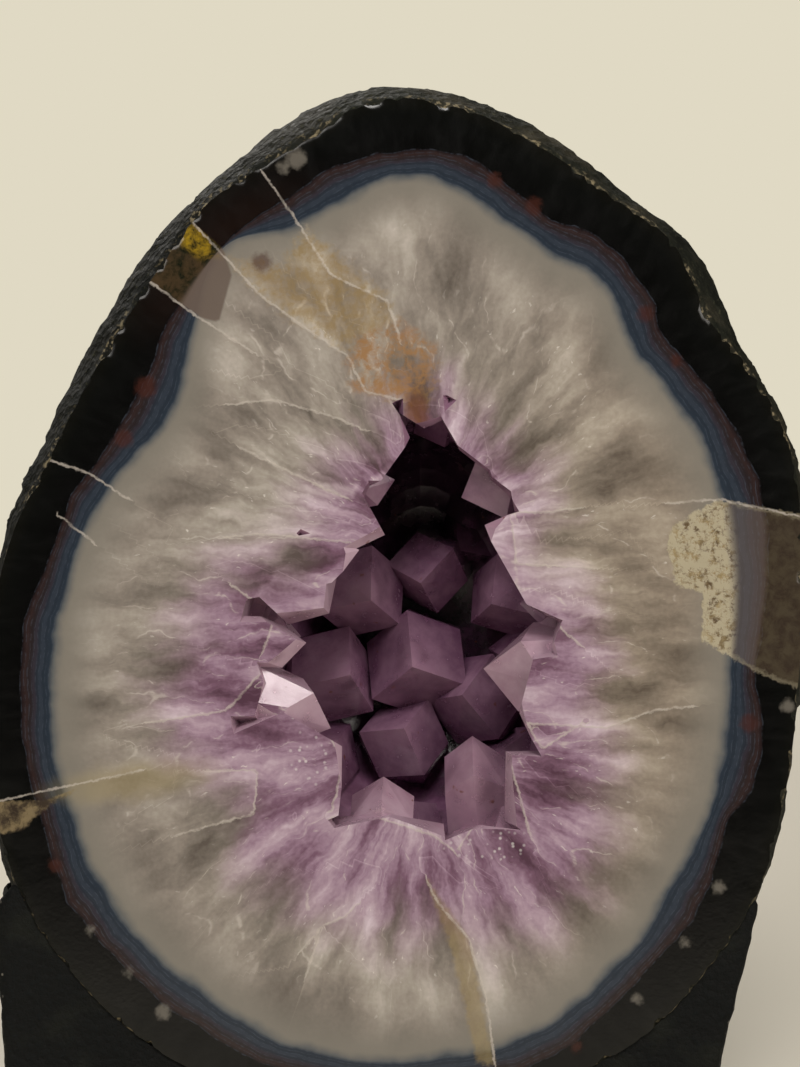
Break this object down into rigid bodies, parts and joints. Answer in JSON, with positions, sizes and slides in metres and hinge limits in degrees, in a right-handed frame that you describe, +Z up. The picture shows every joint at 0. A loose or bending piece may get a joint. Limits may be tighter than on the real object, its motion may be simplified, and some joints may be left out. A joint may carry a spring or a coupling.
{
  "type": "geode half",
  "caption": "Free-standing half of an amethyst geode: flat polished agate and quartz face, crystal-lined hollow, rough dark rind, cast black foot.",
  "frame": {"origin": "on the ground, below the middle of the whole object's box", "axes": "+X to the right and +Y away for someone who looks at the polished face, +Z up"},
  "size_m": [0.1978, 0.0828, 0.2476],
  "materials": {
    "agate_stone": "flat face polished to a gloss, outside rough and dark",
    "amethyst": "natural crystal faces, glossy",
    "black_cement": "gritty, painted black"
  },
  "bodies": {
    "root": {"geode_stone": "agate_stone", "amethyst_crust": "amethyst", "cast_base": "black_cement"}
  },
  "joints": []
}
